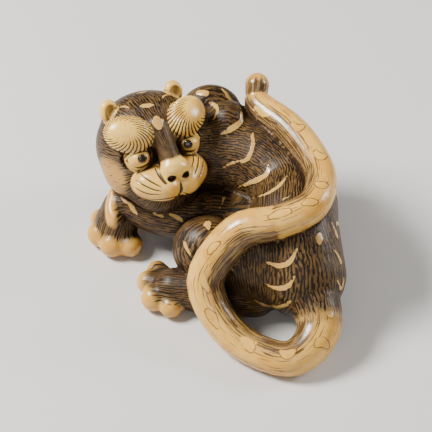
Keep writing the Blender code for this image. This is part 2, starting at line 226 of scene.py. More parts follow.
# The camera of the photograph, in shares, and its frame
FRAME_SIZE = 432
FOCAL_PIXELS = 2480.0
SENSOR_MM = 36.0
EYE = (0.0, -279.8, 294.8)
AIM = (0.0, 3.0, 12.0)
AIM_PIXEL = (218.0, 224.2)

# Carved lines of the face, as pixels of the photograph laid on the surface: path, half width and depth
FACE_LINES = [
    ([(140, 173.5), (146, 178.5), (154, 183.5), (162, 187.5)], 0.13, 0.16),
    ([(135, 179.5), (143, 185), (154, 190), (162.5, 191.5)], 0.13, 0.16),
    ([(134, 187), (142, 192), (150, 194.5), (161, 195)], 0.13, 0.16),
    ([(136, 196), (139, 198), (143, 199.6)], 0.12, 0.12),
    ([(198.5, 155), (198, 165), (194.5, 175)], 0.12, 0.14),
    ([(203.4, 160), (202.2, 170), (198, 180)], 0.12, 0.14),
    ([(192.5, 152), (193.5, 160), (191.5, 168)], 0.10, 0.10),
    ([(155, 168), (160, 176), (165, 182.5), (168, 184.5)], 0.26, 0.34),
    ([(180.5, 182), (181.5, 190), (179, 195.5)], 0.20, 0.28),
    ([(148, 199.5), (160, 200), (171, 198.5), (179, 195.5)], 0.22, 0.24),
    ([(182, 192.5), (193, 194.6), (200, 189), (204, 184)], 0.22, 0.24),
]

# Pale marks left smooth in the stained fur, as pixels of the photograph: u, v and half width at each point
BODY_MARKS = [
    [(210.4, 103.3, 1.6), (215.7, 105.7, 2.3), (217.7, 111, 2.0), (213.3, 119.7, 1.0)],
    [(240.5, 104.3, 1.0), (241.3, 118.8, 2.2), (237.4, 124.5, 3.2), (228.8, 130.3, 2.8), (220.1, 134.7, 0.6)],
    [(251.9, 131.3, 1.2), (252.9, 144.8, 2.0), (249, 156.4, 2.3), (243.2, 161.2, 1.8), (233.6, 162.6, 1.6),
     (223, 167.5, 0.5)],
    [(268.3, 165, 0.8), (267.3, 173.7, 2.8), (261.5, 178.1, 2.8), (249, 183.4, 2.3), (236, 187.7, 0.5)],
    [(287.6, 175.2, 0.9), (279.9, 185.3, 2.2), (270.2, 192, 2.2), (260.6, 195.9, 1.2), (250.9, 198.8, 0.4)],
    [(292.4, 194.5, 0.8), (283.7, 199.3, 1.6)],
    [(222.5, 187.2, 0.8), (224, 198.8, 1.5), (220, 208.4, 0.6)],
    [(198, 92.5, 3.0), (206, 93, 3.4)],
    [(298.1, 246.9, 0.5), (289.9, 262.2, 2.6), (279.3, 265.7, 2.6), (266.3, 262.2, 0.6)],
    [(295.8, 274, 0.5), (288.7, 285.7, 2.4), (276.9, 288.1, 2.2), (260.4, 282.2, 0.5)],
    [(293.4, 297.5, 0.5), (286.4, 304.6, 2.0), (274.6, 307, 2.1), (262.8, 304, 1.6), (253.4, 298.7, 0.5)],
    [(319.4, 234, 2.2), (319.4, 239, 4.2), (320, 243, 2.4)],
    [(330, 219, 0.8), (334, 228, 1.6), (337, 236, 2.6)],
    [(332.3, 246.9, 0.8), (337, 254, 1.6), (341, 262, 2.6)],
    [(337, 280, 0.8), (341.5, 289, 2.0), (343.8, 277, 1.0)],
    [(207.4, 218.5, 0.6), (207.6, 224.5, 3.0), (209, 230, 0.6)],
    [(203, 224.5, 0.6), (207.5, 225, 2.6), (211.5, 222, 0.6)],
    [(183.5, 238, 0.8), (186, 247, 2.2), (191, 255, 0.8)],
    [(188, 289, 1.0), (194, 297, 2.4), (203, 303, 0.8)],
    [(129, 203, 1.2), (133, 209, 2.8), (137, 214, 1.2)],
    [(120, 196, 0.8), (125, 201, 1.8), (130, 205, 0.6)],
    [(146, 208, 1.0), (155, 212, 3.2), (163, 217, 1.4)],
    [(169, 214, 1.0), (178, 218, 2.4), (184, 222, 0.8)],
]
# Marks of the hidden side: station along the torso, degrees above its far side, half width in shares
FAR_MARKS = [
    [(2.0, 40, 0.05), (3.6, 26, 0.42), (4.0, 10, 0.42), (2.6, -4, 0.05)],
    [(6.4, 44, 0.05), (8.0, 28, 0.45), (8.2, 10, 0.40), (6.8, -6, 0.05)],
    [(10.6, 40, 0.05), (12.2, 24, 0.45), (12.4, 8, 0.40), (11.0, -8, 0.05)],
    [(14.4, 30, 0.05), (15.8, 14, 0.42), (15.8, -2, 0.40), (14.4, -16, 0.05)],
    [(5.4, -18, 0.10), (6.2, -22, 0.50), (7.0, -26, 0.10)],
    [(17.6, 66, 0.10), (18.4, 60, 0.50), (19.4, 57, 0.10)],
    [(19.0, 28, 0.05), (20.2, 14, 0.42), (20.0, -2, 0.40), (18.8, -12, 0.05)],
    [(22.4, 20, 0.05), (23.6, 4, 0.36), (23.0, -14, 0.05)],
]
HEAD_MARKS = [
    [(139.5, 106.3, 0.8), (146.5, 105.6, 3.2), (153.8, 105, 1.0)],
    [(156, 116, 1.0), (156.5, 119.5, 4.2), (158, 124.5, 5.0), (160, 128.5, 1.6)],
    [(152, 122, 0.6), (157, 122, 3.8), (163.5, 119.5, 0.8)],
    [(137, 93.6, 0.8), (142.5, 92.6, 1.7), (147, 92, 0.8)],
    [(115, 109, 0.6), (123, 106.6, 1.5), (132, 109, 0.6)],
    [(162, 98.5, 1.0), (164.5, 95.6, 1.4), (175, 94.6, 1.2), (184, 95.4, 0.6)],
]
TAIL_MARKS = [
    [(292.5, 124, 2.6), (298, 128.5, 4.4), (302.5, 125.5, 2.4)],
    [(315.5, 151, 2.4), (320, 156.5, 4.6), (325, 155, 3.0)],
    [(316.5, 183, 2.4), (321, 185, 4.4), (326, 184, 2.6)],
    [(303, 204, 2.2), (309, 201.5, 4.0), (316, 202.5, 2.4)],
    [(325, 304, 2.0), (327.6, 309.3, 4.8), (331, 316, 2.6)],
    [(316.5, 345.5, 2.4), (321.5, 342, 5.2), (327.5, 346, 3.0)],
    [(281.5, 351.5, 2.6), (286.5, 354.5, 5.0), (293, 351, 3.2)],
    [(243, 339, 2.8), (248.5, 344, 5.4), (252, 350, 2.4), (256, 342, 1.4)],
    [(207.5, 311, 2.6), (212.5, 318, 4.8), (217.5, 326, 2.6)],
    [(203.5, 275, 2.2), (204.5, 283, 3.6), (208, 291, 2.0)],
    [(209, 252, 2.4), (213, 247, 3.8), (219, 243, 2.0)],
    [(270, 217, 2.0), (279, 213.5, 4.4), (289, 211, 3.0)],
    [(255.5, 108, 2.0), (262, 113, 3.6), (269, 114, 2.0)],
]

# The mesh: the size of its cells, and how it is drawn tight to the forms
CELL = 0.45
COARSE_CELLS = 4
LOW_CORNER = (-24.0, -24.0, -1.0)
HIGH_CORNER = (24.0, 31.0, 32.0)
GRADIENT_STEP = 0.02
FINE_REACH, FINEST_REACH = 12.5, 13.0  # from the middle of the head
CHUNK_POINTS = 8000
THREADS = 4

# The hair: how far apart its cuts are on parts of about these radii, and the line it follows on the haunch
CUT_PITCH = 0.42
HAIR_RADII = {"torso": 7.0, "haunch": 8.0, "head": 8.0, "tail": 2.8, "leg": 3.5}
HAUNCH_EDGE = -0.5
HAUNCH_AXIS = [(8.0, 7.5, 18.0), (8.0, -5.5, 0.0)]

# The stain: a worn patch on each cheek. Hollows get patina and painted shade, looked for this far round a
# point
CHEEK_PATCH = (8.4, -2.4, 1.2)
CHEEK_INNER, CHEEK_OUTER = 2.6, 4.4
CHEEK_WEAR = 0.68
HOLLOW_REACHES = (0.25, 0.6, 1.2, 2.4, 4.0)
TAIL_ROOT = (5.0, 9.0)  # along the tail: where the fur ends
# What the tail's dark side faces, on its lower loop and then past this length on its upper one
LOOP_LENGTH = 52.0
LOWER_LOOP_MIDDLE = (6.0, -9.0, 7.0)
UPPER_LOOP_MIDDLE = (5.0, 8.0, 16.0)
MARK_PROUD = 0.05
# Laying a path on the surface: from how far before the aim, or out from the torso, and in how many steps
TRACE_START, FAR_START = 45.0, 16.0
TRACE_STEPS = 120
TRACE_SHARE = 0.8  # of the distance left, at each step

# The stage, in metres
FLOOR_SIZE = 3.0


def unit(vector):
    vector = np.asarray(vector, float)
    return vector / np.linalg.norm(vector)


def smoothstep(low, high, value):
    t = np.clip((value - low) / (high - low), 0.0, 1.0)
    return t * t * (3.0 - 2.0 * t)


def on_side(point, side):
    """A point of the head's right half, put on the side with this sign."""
    return np.array([point[0] * side, *point[1:]])


def smooth_stations(stations, steps=5):
    """More stations on a smooth curve through the given ones."""
    rows = [np.asarray(row, float) for row in stations]
    ends = [2 * rows[0] - rows[1], *rows, 2 * rows[-1] - rows[-2]]
    found = []
    for before, start, end, after in zip(ends, ends[1:], ends[2:], ends[3:]):
        for step in range(steps):
            t = step / steps
            found.append(
                0.5 * (2 * start + (end - before) * t
                       + (2 * before - 5 * start + 4 * end - after) * t * t
                       + (3 * start - before - 3 * end + after) * t ** 3)
            )
    return np.array([*found, rows[-1]])


def facing_axes(outward, tilt=0.0):
    """Rows are a frame's axes: Z points outward and X is level before the tilt."""
    z = unit(outward)
    x = unit(np.cross((0.0, 1.0, 0.0), z))
    y = np.cross(z, x)
    c, s = math.cos(tilt), math.sin(tilt)
    return np.array([x * c + y * s, y * c - x * s, z])


FORWARD = unit(HEAD_FORWARD)
SIDE = unit(np.cross(HEAD_TOP, FORWARD))
HEAD_AXES = np.array([SIDE, np.cross(FORWARD, SIDE), FORWARD])
PATHS = {name: smooth_stations(rows) for name, rows in {"torso": TORSO, "tail": TAIL, **LEGS}.items()}
WRIST_PATH = smooth_stations(WRIST_FUR)
BRIDGE_PATH = smooth_stations(NOSE_BRIDGE)
LID_PATHS = [smooth_stations(rows, 3) for rows in LIDS]


def tuft_axes(side):
    return facing_axes(on_side(TUFT_OUTWARD, side), side * TUFT_TILT)


def gaze_of(side):
    return unit(on_side(GAZE, side) + (GAZE_TURN, 0.0, 0.0))


def head_local(p):
    return (p - np.array(HEAD_CENTRE)) @ HEAD_AXES.T


def head_world(q):
    return np.asarray(q, float) @ HEAD_AXES + np.array(HEAD_CENTRE)


# Distances to forms: negative inside


def ball(p, centre, radius):
    return np.linalg.norm(p - np.asarray(centre, float), axis=1) - radius


def ellipsoid(p, centre, radii, axes=None):
    q = p - np.asarray(centre, float)
    if axes is not None:
        q = q @ axes.T
    radii = np.asarray(radii, float)
    k0 = np.linalg.norm(q / radii, axis=1)
    k1 = np.linalg.norm(q / radii ** 2, axis=1)
    return k0 * (k0 - 1.0) / np.maximum(k1, 1e-9)


def limb(p, path):
    found = np.full(len(p), 1e9)
    for start, end in zip(path, path[1:]):
        along = end[:3] - start[:3]
        t = np.clip((p - start[:3]) @ along / (along @ along), 0.0, 1.0)
        away = np.linalg.norm(p - start[:3] - t[:, None] * along, axis=1)
        found = np.minimum(found, away - (start[3] + (end[3] - start[3]) * t))
    return found


def blend(a, b, reach):
    """The union of two forms with a fillet of about this reach."""
    h = np.clip(0.5 + 0.5 * (b - a) / reach, 0.0, 1.0)
    return b + (a - b) * h - reach * h * (1.0 - h)


def carve(a, b, reach):
    """The first form with the second cut out of it."""
    return -blend(-a, b, reach)


def near(p, centre, reach, form):
    """The distance to a form inside a sphere, worked out only near it; further off, a safe shorter one."""
    found = np.linalg.norm(p - np.asarray(centre, float), axis=1) - reach
    close = found < 2.0
    if close.any():
        found[close] = form(p[close])
    return found


def body_form(p):
    d = limb(p, PATHS["torso"])
    for centre, radii in MASSES.values():
        d = blend(d, ellipsoid(p, centre, radii), FILLETS["masses"])
    return d


def paw_form(p, name):
    d = None
    middle = np.array(PAW_MIDDLES[name])
    for tip in np.array(TOES[name]):
        knuckle = tip[:3] + (middle - tip[:3]) * KNUCKLE_SHARE
        toe = limb(p, [np.array([*knuckle, tip[3] * KNUCKLE_SIZE]), tip])
        d = toe if d is None else blend(d, toe, FILLETS["toes"])
    return d


def leg_form(p, name):
    return blend(limb(p, PATHS[name]), paw_form(p, name), FILLETS["paw"])


def muzzle_form(q, side):
    pad = ellipsoid(q, on_side(WHISKER_PAD[0], side), WHISKER_PAD[1])
    return blend(pad, ellipsoid(q, on_side(UPPER_LIP[0], side), UPPER_LIP[1]), FILLETS["lip"])


def tuft_form(q, side):
    return ellipsoid(q, on_side(TUFT_CENTRE, side), TUFT_RADII, tuft_axes(side))


def head_form(p):
    q = head_local(p)
    d = None
    for centre, radii in SKULL_FORMS.values():
        form = ellipsoid(q, centre, radii)
        d = form if d is None else blend(d, form, FILLETS["skull"])
    for side in (-1, 1):
        d = carve(d, ellipsoid(q, on_side(EYE_SOCKET[0], side), EYE_SOCKET[1]), FILLETS["socket"])
    for side in (-1, 1):
        ear = ellipsoid(q, on_side(EAR[0], side), EAR[1])
        hollow = ellipsoid(q, on_side(EAR_HOLLOW[0], side), EAR_HOLLOW[1])
        d = blend(d, carve(ear, hollow, FILLETS["ear hollow"]), FILLETS["ear"])
        d = blend(d, muzzle_form(q, side), FILLETS["muzzle"])
        for path in LID_PATHS:
            d = blend(d, limb(q, path * (side, 1, 1, 1)), FILLETS["lid"])
        d = blend(d, ellipsoid(q, on_side(EYEBALL_CENTRE, side), EYEBALL_RADII), FILLETS["eyeball"])
        d = blend(d, tuft_form(q, side), FILLETS["tuft"])
    d = blend(d, limb(q, BRIDGE_PATH), FILLETS["bridge"])
    for centre, radii in MUZZLE_FORMS.values():
        d = blend(d, ellipsoid(q, centre, radii), FILLETS["nose"])
    for side in (-1, 1):
        d = blend(d, ball(q, on_side(NOSE_WING[0], side), NOSE_WING[1]), FILLETS["nose wing"])
    for side in (-1, 1):
        d = carve(d, ellipsoid(q, on_side(NOSTRIL[0], side), NOSTRIL[1]), FILLETS["nostril"])
    return d


def tiger_sum(p):
    d = body_form(p)
    for name in LEGS:
        leg = near(p, PATHS[name][:, :3].mean(0), LEG_REACH, lambda q, n=name: leg_form(q, n))
        d = blend(d, leg, FILLETS["leg"])
    wrist = near(p, WRIST_PATH[:, :3].mean(0), WRIST_REACH, lambda q: limb(q, WRIST_PATH))
    d = blend(d, wrist, FILLETS["wrist"])
    d = blend(d, near(p, HEAD_CENTRE, HEAD_REACH, head_form), FILLETS["head"])
    d = blend(d, limb(p, PATHS["tail"]), FILLETS["tail"])
    return np.maximum(d, -p[:, 2])


def tiger_form(p):
    """The distance to the carving at many points, worked out a few thousand at a time on all cores."""
    chunks = np.array_split(p, max(1, len(p) // CHUNK_POINTS))
    with ThreadPoolExecutor(THREADS) as pool:
        return np.concatenate(list(pool.map(tiger_sum, chunks)))


# The skin


def banded_distances():
    """The distance on a grid, worked out finely only near the surface, and the grid's axes."""
    low, high = np.array(LOW_CORNER), np.array(HIGH_CORNER)
    coarse = CELL * COARSE_CELLS
    counts = np.ceil((high - low) / coarse).astype(int)
    middles = [low[a] + coarse * (np.arange(counts[a]) + 0.5) for a in range(3)]
    grid = np.stack(np.meshgrid(*middles, indexing="ij"), -1).reshape(-1, 3)
    rough = tiger_form(grid).reshape(counts)
    close = np.abs(rough) < coarse * 1.3

    def finer(values):
        for axis in range(3):
            values = np.repeat(values, COARSE_CELLS, axis)
        return values

    values = finer(np.where(close, 0.0, np.sign(rough) * 9.0))
    axes = [low[a] + CELL * (np.arange(counts[a] * COARSE_CELLS) + 0.5) for a in range(3)]
    mask = finer(close)
    cells = np.argwhere(mask)
    values[mask] = tiger_form(np.stack([axes[a][cells[:, a]] for a in range(3)], 1))
    return values, axes


def surface_net(values, axes):
    """A mesh of quads, with a point in each cell that the surface crosses."""
    inside = values < 0
    shape = np.array(values.shape) - 1
    corners = [(i, j, k) for i in (0, 1) for j in (0, 1) for k in (0, 1)]
    total = np.zeros(shape, int)
    for corner in corners:
        total += inside[tuple(slice(corner[a], corner[a] + shape[a]) for a in range(3))]
    mixed = (total > 0) & (total < 8)
    cells = np.argwhere(mixed)
    index = np.full(shape, -1)
    index[mixed] = np.arange(len(cells))
    summed = np.zeros((len(cells), 3))
    count = np.zeros(len(cells))
    for axis in range(3):
        step = np.eye(3, dtype=int)[axis]
        for corner in corners:
            if corner[axis]:
                continue
            start = cells + corner
            first, last = values[tuple(start.T)], values[tuple((start + step).T)]
            crossed = (first < 0) != (last < 0)
            t = np.where(crossed, first / np.where(crossed, first - last, 1.0), 0.0)
            summed += np.where(crossed[:, None], start + t[:, None] * step, 0.0)
            count += crossed
    middles = summed / count[:, None]
    points = np.stack([np.interp(middles[:, a], np.arange(len(axes[a])), axes[a]) for a in range(3)], 1)
    quads = []
    for axis in range(3):
        u, v = (axis + 1) % 3, (axis + 2) % 3
        first = np.delete(inside, -1, axis)
        last = np.delete(inside, 0, axis)
        for change, order in ((first & ~last, 1), (~first & last, -1)):
            edges = np.argwhere(change)
            ring = []
            for du, dv in ((-1, -1), (0, -1), (0, 0), (-1, 0)):
                cell = edges.copy()
                cell[:, u] += du
                cell[:, v] += dv
                ring.append(index[tuple(cell.T)])
            quads.append(np.stack(ring, 1)[:, ::order])
    return points, np.vstack(quads)


def outward(p):
    """The direction in which the distance grows, and the distance."""
    d = tiger_form(p)
    slope = np.empty_like(p)
    for axis in range(3):
        q = p.copy()
        q[:, axis] += GRADIENT_STEP
        slope[:, axis] = tiger_form(q) - d
    slope /= np.maximum(np.linalg.norm(slope, axis=1, keepdims=True), 1e-9)
    return slope, d


def drawn_tight(points, rounds):
    """The points moved onto the surface of the forms."""
    for _ in range(rounds):
        slope, d = outward(points)
        points = points - slope * np.clip(d, -0.3, 0.3)[:, None]
    return points


def evened(points, quads, rounds):
    """Each point moved half way to the middle of its neighbours."""
    for _ in range(rounds):
        summed = np.zeros_like(points)
        count = np.zeros(len(points))
        for a, b in ((0, 1), (1, 2), (2, 3), (3, 0)):
            np.add.at(summed, quads[:, a], points[quads[:, b]])
            np.add.at(summed, quads[:, b], points[quads[:, a]])
            np.add.at(count, quads[:, a], 1)
            np.add.at(count, quads[:, b], 1)
        points = 0.5 * points + 0.5 * summed / count[:, None]
    return points


def quartered(points, quads, others, chosen):
    """The chosen quads cut in four; a neighbour takes the new points into its outline."""
    cut = quads[chosen]
    pairs = np.sort(np.stack([cut, np.roll(cut, -1, 1)], 2).reshape(-1, 2), 1)
    keys = pairs[:, 0] * len(points) + pairs[:, 1]
    unique, back = np.unique(keys, return_inverse=True)
    ends = np.stack([unique // len(points), unique % len(points)], 1)
    middle = (len(points) + back).reshape(-1, 4)
    centre = len(points) + len(unique) + np.arange(len(cut))
    new_points = np.vstack([points, points[ends].mean(1), points[cut].mean(1)])
    pieces = [
        np.stack([cut[:, k], middle[:, k], centre, middle[:, k - 1]], 1)
        for k in range(4)
    ]
    lookup = dict(zip(unique.tolist(), range(len(points), len(points) + len(unique))))
    kept = quads[~chosen]
    sides = np.sort(np.stack([kept, np.roll(kept, -1, 1)], 2), 2)
    touched = np.isin(sides[:, :, 0] * len(points) + sides[:, :, 1], unique).any(1)
    rim = []
    for face in [*kept[touched].tolist(), *others]:
        outline = []
        for start, end in zip(face, [*face[1:], face[0]]):
            outline.append(start)
            key = min(start, end) * len(points) + max(start, end)
            if key in lookup:
                outline.append(lookup[key])
        rim.append(outline)
    return new_points, np.vstack([kept[~touched], *pieces]), rim


def skin():
    """Points, quads and the odd faces between coarse and fine parts."""
    points, quads = surface_net(*banded_distances())
    points = drawn_tight(evened(points, quads, 1), 2)
    others = []
    for wanted in (fine_places, finest_places):
        chosen = wanted(points[quads].mean(1))
        before = len(points)
        points, quads, others = quartered(points, quads, others, chosen)
        points[before:] = drawn_tight(points[before:], 2)
    return points, quads, others


def face_parts(q):
    """The distance to the finely carved parts of the face."""
    d = ellipsoid(q, *MUZZLE_FORMS["nose"])
    for side in (-1, 1):
        d = np.minimum(d, tuft_form(q, side))
        d = np.minimum(d, muzzle_form(q, side))
        d = np.minimum(d, ball(q, on_side(EYEBALL_CENTRE, side), EYE_REACH))
    return d


def fine_places(p):
    """The front of the head and the near paws."""
    q = head_local(p)
    head = (np.linalg.norm(q, axis=1) < FINE_REACH) & (q[:, 2] > -2.0) & (q[:, 1] > -8.5)
    paws = np.zeros(len(p), bool)
    for name in ("near fore", "near hind"):
        paws |= paw_form(p, name) < 0.4
    return head | paws


def finest_places(p):
    q = head_local(p)
    front = (q[:, 2] > 2.2) & (np.linalg.norm(q, axis=1) < FINEST_REACH)
    return front & (face_parts(q) < 0.25)


# Paths on the surface


def pixel_rays(pixels):
    eye, aim = np.array(EYE), np.array(AIM)
    back = unit(eye - aim)
    right = np.array([1.0, 0.0, 0.0])
    up = np.cross(back, right)
    x = (pixels[:, 0] - AIM_PIXEL[0]) / FOCAL_PIXELS
    y = (AIM_PIXEL[1] - pixels[:, 1]) / FOCAL_PIXELS
    rays = x[:, None] * right + y[:, None] * up - back
    return eye, rays / np.linalg.norm(rays, axis=1, keepdims=True)


def under_pixels(paths):
    """The surface points that the photograph shows along these paths of pixels, all found at once."""
    eye, rays = pixel_rays(np.vstack(paths))
    t = np.full(len(rays), np.linalg.norm(eye - np.array(AIM)) - TRACE_START)
    for _ in range(TRACE_STEPS):
        t += TRACE_SHARE * tiger_form(eye + rays * t[:, None])
    return split_like(eye + rays * t[:, None], paths)


def split_like(points, paths):
    """The points cut up again into one array for each path."""
    return np.split(points, np.cumsum([len(path) for path in paths])[:-1])


def path_distance(p, path, widths):
    """The distance to a path less its half width there, and the place along it from 0 to 1."""
    found = np.full(len(p), 1e9)
    place = np.zeros(len(p))
    count = len(path) - 1
    for i in range(count):
        along = path[i + 1] - path[i]
        t = np.clip((p - path[i]) @ along / max(along @ along, 1e-9), 0.0, 1.0)
        half_width = widths[i] + (widths[i + 1] - widths[i]) * t
        d = np.linalg.norm(p - path[i] - t[:, None] * along, axis=1) - half_width
        better = d < found
        found[better] = d[better]
        place[better] = (i + t[better]) / count
    return found, place


def photo_marks(marks):
    """Each mark's path on the surface and its half widths, from pixels of the photograph."""
    smooth = [smooth_stations(rows, 3) for rows in marks]
    scale = np.linalg.norm(np.array(EYE) - np.array(AIM)) / FOCAL_PIXELS
    found = under_pixels([rows[:, :2] for rows in smooth])
    return [(path, rows[:, 2] * scale) for path, rows in zip(found, smooth)]


def far_marks(marks):
    """The same from stations along the torso, degrees above its far side and half widths."""
    smooth = [smooth_stations(rows, 3) for rows in marks]
    rows = np.vstack(smooth)
    path = PATHS["torso"][:, :3]
    index = np.arange(len(path))
    axis = np.stack([np.interp(rows[:, 0], index, path[:, a]) for a in range(3)], 1)
    along = np.stack([np.interp(rows[:, 0], index, np.gradient(path[:, a])) for a in range(3)], 1)
    side = np.cross(along, (0.0, 0.0, 1.0))
    side /= np.linalg.norm(side, axis=1, keepdims=True)
    turn = np.radians(rows[:, 1, None])
    ray = np.cos(turn) * side + np.sin(turn) * np.array([0.0, 0.0, 1.0])
    points = axis + FAR_START * ray
    for _ in range(TRACE_STEPS // 2):
        points = points - TRACE_SHARE * tiger_form(points)[:, None] * ray
    return [(path, rows[:, 2]) for path, rows in zip(split_like(points, smooth), smooth)]


def marks_distance(p, marks):
    """The distance to the nearest of the marks, negative on it, in shares."""
    found = np.full(len(p), 3.0)
    for path, widths in marks:
        middle = path.mean(0)
        close = np.linalg.norm(p - middle, axis=1) < 3.0 + np.linalg.norm(path - middle, axis=1).max()
        found[close] = np.minimum(found[close], path_distance(p[close], path, widths)[0])
    return found


# Relief


def flutes(q):
    """How deep the flutes cut into the tufts, from 0 to 1, in the head's frame."""
    found = np.zeros(len(q))
    for side in (-1, 1):
        local = (q - on_side(TUFT_CENTRE, side)) @ tuft_axes(side).T
        flat = local[:, :2] / np.array(TUFT_RADII[:2])
        crown = np.array([side * FLUTE_CROWN, 0.08])
        ray = flat - crown
        length = np.maximum(np.linalg.norm(ray, axis=1), 1e-6)
        turn = ray / length[:, None]
        lean = turn @ crown
        rim = -lean + np.sqrt(np.maximum(lean ** 2 + 1.0 - crown @ crown, 0.0))
        share = length / rim
        angle = np.arctan2(turn[:, 1], turn[:, 0]) - side * FLUTE_TWIST * share ** 1.5
        wave = 0.5 + 0.5 * np.cos(angle * FLUTES)
        inner = 0.5 - 0.5 * side * turn[:, 0]
        start = FLUTE_OUTER_START + (FLUTE_INNER_START - FLUTE_OUTER_START) * inner
        start = start + FLUTE_UNEVEN * np.sin(3.0 * np.floor(angle * FLUTES / math.tau + 0.5))
        groove = smoothstep(0.45, 0.95, wave) * smoothstep(start, start + 0.34, share)
        on_tuft = smoothstep(0.35, 0.1, np.abs(tuft_form(q, side))) * (local[:, 2] > -0.6)
        found = np.maximum(found, groove * on_tuft)
    return found


def face_lines(p):
    """How deep and how dark the carved lines of the face are."""
    depth = np.zeros(len(p))
    dark = np.zeros(len(p))
    paths = under_pixels([smooth_stations(rows, 4) for rows, _, _ in FACE_LINES])
    for path, (_, half_width, cut_depth) in zip(paths, FACE_LINES):
        close = np.linalg.norm(p - path.mean(0), axis=1) < 6.0
        away, place = path_distance(p[close], path, np.zeros(len(path)))
        taper = np.sqrt(np.clip(4.0 * place * (1.0 - place), 0.08, 1.0))
        profile = np.exp(-(away / (half_width * taper)) ** 2)
        depth[close] = np.maximum(depth[close], cut_depth * taper * profile)
        dark[close] = np.maximum(dark[close], profile)
    return depth, dark


def pockets(q):
    """How far the eyeballs are cut back under the inlaid pupils."""
    depth = np.zeros(len(q))
    radius = (0.5 * PUPIL_DIAMETER + INLAY_CLEARANCE) / SHARE
    for side in (-1, 1):
        gaze = gaze_of(side)
        local = q - on_side(EYEBALL_CENTRE, side)
        along = local @ gaze
        away = np.linalg.norm(local - along[:, None] * gaze, axis=1)
        depth = np.maximum(depth, 0.5 * smoothstep(radius + 0.03, radius - 0.05, away) * (along > 1.0))
    return depth


# What the material reads


def hollows(p, normals):
    """From 0 on open ground to 1 deep in a hollow: how much of the space above the surface is filled."""
    # The material darkens the hollows by this, partly as patina and partly as painted shade
    filled = np.zeros(len(p))
    for reach in HOLLOW_REACHES:
        filled += np.clip(1.0 - tiger_form(p + normals * reach) / reach, 0.0, 1.0)
    return filled / len(HOLLOW_REACHES)


def path_frame(p, path, radius):
    """Along and round a limb: its length so far, and the direction round it as a point on a circle."""
    path = path[:, :3]
    steps = np.linalg.norm(np.diff(path, axis=0), axis=1)
    starts = np.concatenate([[0.0], np.cumsum(steps)])
    tangents = np.gradient(path, axis=0)
    tangents /= np.linalg.norm(tangents, axis=1, keepdims=True)
    across = np.cross(tangents[0], (0.0, 0.0, 1.0))
    frames = []
    for tangent in tangents:
        across = unit(across - tangent * (across @ tangent))
        frames.append(across)
    frames = np.array(frames)
    found = np.full(len(p), 1e9)
    result = np.zeros((len(p), 3))
    for i in range(len(path) - 1):
        along = path[i + 1] - path[i]
        t = np.clip((p - path[i]) @ along / (along @ along), 0.0, 1.0)
        offset = p - path[i] - t[:, None] * along
        d = np.linalg.norm(offset, axis=1)
        better = d < found
        found[better] = d[better]
        tangent = tangents[i] + (tangents[i + 1] - tangents[i]) * t[better, None]
        first = frames[i] + (frames[i + 1] - frames[i]) * t[better, None]
        second = np.cross(tangent, first)
        x = (offset[better] * first).sum(1)
        y = (offset[better] * second).sum(1)
        length = np.maximum(np.hypot(x, y), 1e-6)
        result[better, 0] = starts[i] + steps[i] * t[better]
        result[better, 1] = radius * x / length
        result[better, 2] = radius * y / length
    return result


def regions(p):
    """The distance to each part, to tell what a point belongs to."""
    body = body_form(p)
    haunch = (p[:, 1] < HAUNCH_EDGE) | (ellipsoid(p, *MASSES["near knee"]) < 0.4)
    parts = {"torso": body + 50.0 * haunch, "haunch": body + 50.0 * ~haunch}
    parts["head"] = head_form(p)
    parts["tail"] = limb(p, PATHS["tail"])
    for name in LEGS:
        parts[name] = leg_form(p, name)
    return parts


def hair_frames(p):
    """For each part, how the hair runs on it, and how many cuts stand side by side round it."""
    axis = np.array(HEAD_CENTRE)
    head = np.array([axis + 12.0 * FORWARD, axis - 12.0 * FORWARD])
    paths = {"torso": PATHS["torso"], "haunch": np.array(HAUNCH_AXIS), "head": head, "tail": PATHS["tail"]}
    frames = {}
    for name, path in (*paths.items(), *((name, PATHS[name]) for name in LEGS)):
        radius = HAIR_RADII.get(name, HAIR_RADII["leg"])
        frames[name] = path_frame(p, path, radius), round(math.tau * radius / CUT_PITCH)
    return frames


def stain(p, parts):
    """Where the fur is cut and stained, from 0 to 1, and how golden the bare ivory is."""
    q = head_local(p)
    others = np.minimum.reduce([parts["torso"], parts["haunch"], parts["head"], parts["near hind"]])
    tail = smoothstep(0.15, -0.15, parts["tail"] - others)
    root = smoothstep(*TAIL_ROOT, path_frame(p, PATHS["tail"], 1.0)[:, 0])
    smooth = tail * root
    bare = smoothstep(0.5, 0.15, ellipsoid(q, *MUZZLE_FORMS["nose"]))
    cheek = np.zeros(len(p))
    for side in (-1, 1):
        for form in (
            tuft_form(q, side),
            ball(q, on_side(EYEBALL_CENTRE, side), BARE_EYE_REACH),
            muzzle_form(q, side),
            ellipsoid(q, on_side(EAR[0], side), EAR[1]),
        ):
            bare = np.maximum(bare, smoothstep(0.35, 0.12, form))
        away = np.linalg.norm(q - on_side(CHEEK_PATCH, side), axis=1)
        cheek = np.maximum(cheek, smoothstep(CHEEK_OUTER, CHEEK_INNER, away))
    toes = smoothstep(0.3, 0.0, limb(p, WRIST_PATH)) * smoothstep(-16.2, -17.4, p[:, 0])
    for name in LEGS:
        middle = np.array(PAW_MIDDLES[name])
        for tip in np.array(TOES[name]):
            along = tip[:3] - middle
            t = (p - middle) @ along / (along @ along)
            toes = np.maximum(toes, smoothstep(0.75, 1.2, t) * smoothstep(0.5, 0.1, ball(p, tip[:3], tip[3])))
    fur = 1.0 - np.maximum.reduce([smooth, bare, CHEEK_WEAR * cheek, 0.95 * toes])
    gold = np.maximum.reduce([0.8 * toes, 0.9 * cheek, 0.5 * smooth])
    return np.clip(fur, 0.0, 1.0), gold, smooth


